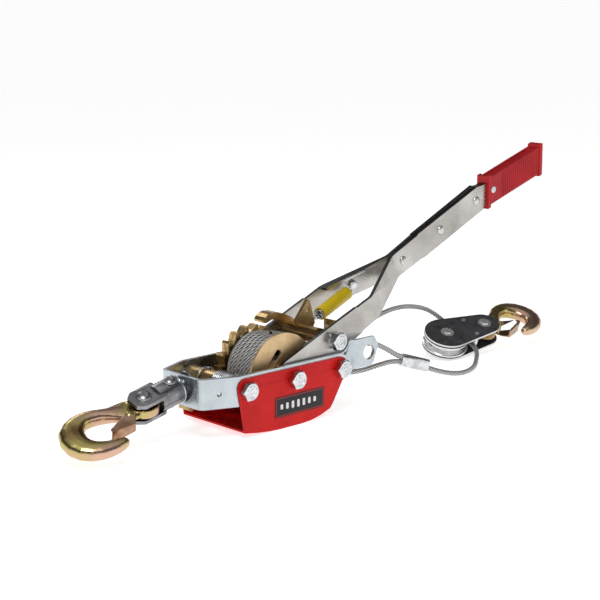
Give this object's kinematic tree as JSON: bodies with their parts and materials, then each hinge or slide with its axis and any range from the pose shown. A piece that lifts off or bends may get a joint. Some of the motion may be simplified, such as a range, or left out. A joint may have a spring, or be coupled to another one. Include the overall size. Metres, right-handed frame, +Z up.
{
  "type": "come along winch",
  "caption": "Hand ratchet puller with swing handle, wire rope drum, two pawls, swivel hook and a pulley block with hook.",
  "frame": {"origin": "on the ground, in the middle of the guard's resting pad, below the drum axle", "axes": "+Z up, +X from the drum to the handle grip, +Y away from the label side"},
  "size_m": [0.7101, 0.1204, 0.2425],
  "materials": {
    "frame_zinc": "bright zinc plated",
    "fastener_zinc": "bright zinc plated",
    "arm_steel": "satin",
    "rivet_steel": "satin",
    "gold_zinc": "yellow chromated steel",
    "hook_zinc": "iridescent yellow chromated steel",
    "dark_steel": "dark polished steel",
    "guard_red": "powder coated, semi-gloss",
    "grip_red": "satin moulded",
    "label_black": "printed film",
    "rope_steel": "galvanised strands",
    "sleeve_yellow": "smooth"
  },
  "bodies": {
    "winch_frame": {"frame": "frame_zinc", "guard": "guard_red", "label_plate": "label_black", "front_bolt": "fastener_zinc", "front_nut": "fastener_zinc", "front_spacer": "fastener_zinc", "axle_bolt": "fastener_zinc", "axle_nut": "fastener_zinc", "rear_bolt": "fastener_zinc", "rear_nut": "fastener_zinc", "rear_spacer": "fastener_zinc", "holding_spring": "fastener_zinc", "cheek_top": "dark_steel", "cheek_bottom": "dark_steel", "sheave_axle": "rivet_steel", "block_pin": "rivet_steel", "rope_stop_1": "fastener_zinc", "rope_stop_2": "fastener_zinc", "rope": "rope_steel", "ferrule": "fastener_zinc"},
    "drum_body": {"drum": "gold_zinc", "ratchet_inner": "gold_zinc", "ratchet_outer": "gold_zinc", "wound_rope": "rope_steel"},
    "holding_pawl_body": {"holding_pawl": "gold_zinc"},
    "handle": {"handle_arm_near": "arm_steel", "handle_arm_far": "arm_steel", "handle_rivet_1": "rivet_steel", "handle_rivet_2": "rivet_steel", "handle_rivet_3": "rivet_steel", "grip": "grip_red", "grip_rivet": "fastener_zinc", "pawl_bolt": "fastener_zinc", "pawl_nut": "fastener_zinc", "pawl_stop": "fastener_zinc", "spring_anchor": "fastener_zinc"},
    "drive_pawl_body": {"drive_pawl": "gold_zinc"},
    "spring_body": {"tension_spring": "fastener_zinc", "spring_sleeve": "sleeve_yellow"},
    "swivel": {"clevis_upper": "dark_steel", "clevis_lower": "dark_steel", "clevis_washer": "fastener_zinc", "clevis_rivet": "rivet_steel", "hook_pin": "rivet_steel"},
    "front_hook_body": {"front_hook": "hook_zinc", "front_latch_rivet": "hook_zinc"},
    "front_latch_body": {"front_latch": "hook_zinc"},
    "sheave_body": {"sheave": "fastener_zinc"},
    "block_hook_body": {"block_hook": "hook_zinc", "block_latch_rivet": "hook_zinc"},
    "block_latch_body": {"block_latch": "hook_zinc"}
  },
  "joints": [
    {"name": "handle_swing", "type": "hinge", "parent": "winch_frame", "child": "handle", "pos_m": [0, 0, 0.047], "axis": [0, -1, 0], "range_deg": [0, 80]},
    {"name": "drum_spin", "type": "hinge", "parent": "winch_frame", "child": "drum_body", "pos_m": [0, 0, 0.047], "axis": [0, 1, 0], "continuous": true},
    {"name": "drive_pawl_lift", "type": "hinge", "parent": "handle", "child": "drive_pawl_body", "pos_m": [0.06185, 0, 0.07454], "axis": [0, 1, 0], "range_deg": [0, 22], "stiffness_Nm_per_rad": 0.2, "springref_deg": -20.05},
    {"name": "spring_pivot", "type": "hinge", "parent": "handle", "child": "spring_body", "pos_m": [0.14672, 0.0195, 0.11232], "axis": [0, 1, 0], "range_deg": [0, 6]},
    {"name": "holding_pawl_lift", "type": "hinge", "parent": "winch_frame", "child": "holding_pawl_body", "pos_m": [-0.063, 0, 0.047], "axis": [0, 1, 0], "range_deg": [-8.5, 2.5], "stiffness_Nm_per_rad": 0.2, "springref_deg": -20.05},
    {"name": "clevis_swivel", "type": "hinge", "parent": "winch_frame", "child": "swivel", "pos_m": [-0.1081, 0, 0.0502], "axis": [-0.9744, 0, -0.225], "continuous": true},
    {"name": "front_hook_swing", "type": "hinge", "parent": "swivel", "child": "front_hook_body", "pos_m": [-0.15224, 0, 0.04001], "axis": [-0.2114, -0.342, 0.9156], "range_deg": [-35, 35]},
    {"name": "front_latch_open", "type": "hinge", "parent": "front_hook_body", "child": "front_latch_body", "pos_m": [-0.17505, -0.00695, 0.03214], "axis": [0.2114, 0.342, -0.9156], "range_deg": [0, 28], "stiffness_Nm_per_rad": 0.05, "springref_deg": -28.65},
    {"name": "sheave_spin", "type": "hinge", "parent": "winch_frame", "child": "sheave_body", "pos_m": [0.3167, 0.0385, 0.0201], "axis": [-0.1733, -0.3604, 0.9166], "continuous": true},
    {"name": "block_hook_swing", "type": "hinge", "parent": "winch_frame", "child": "block_hook_body", "pos_m": [0.36784, 0.02632, 0.02498], "axis": [-0.1733, -0.3604, 0.9166], "range_deg": [-35, 35]},
    {"name": "block_latch_open", "type": "hinge", "parent": "block_hook_body", "child": "block_latch_body", "pos_m": [0.39262, 0.02226, 0.02452], "axis": [-0.0339, -0.3137, 0.9489], "range_deg": [0, 28], "stiffness_Nm_per_rad": 0.05, "springref_deg": -28.65}
  ]
}
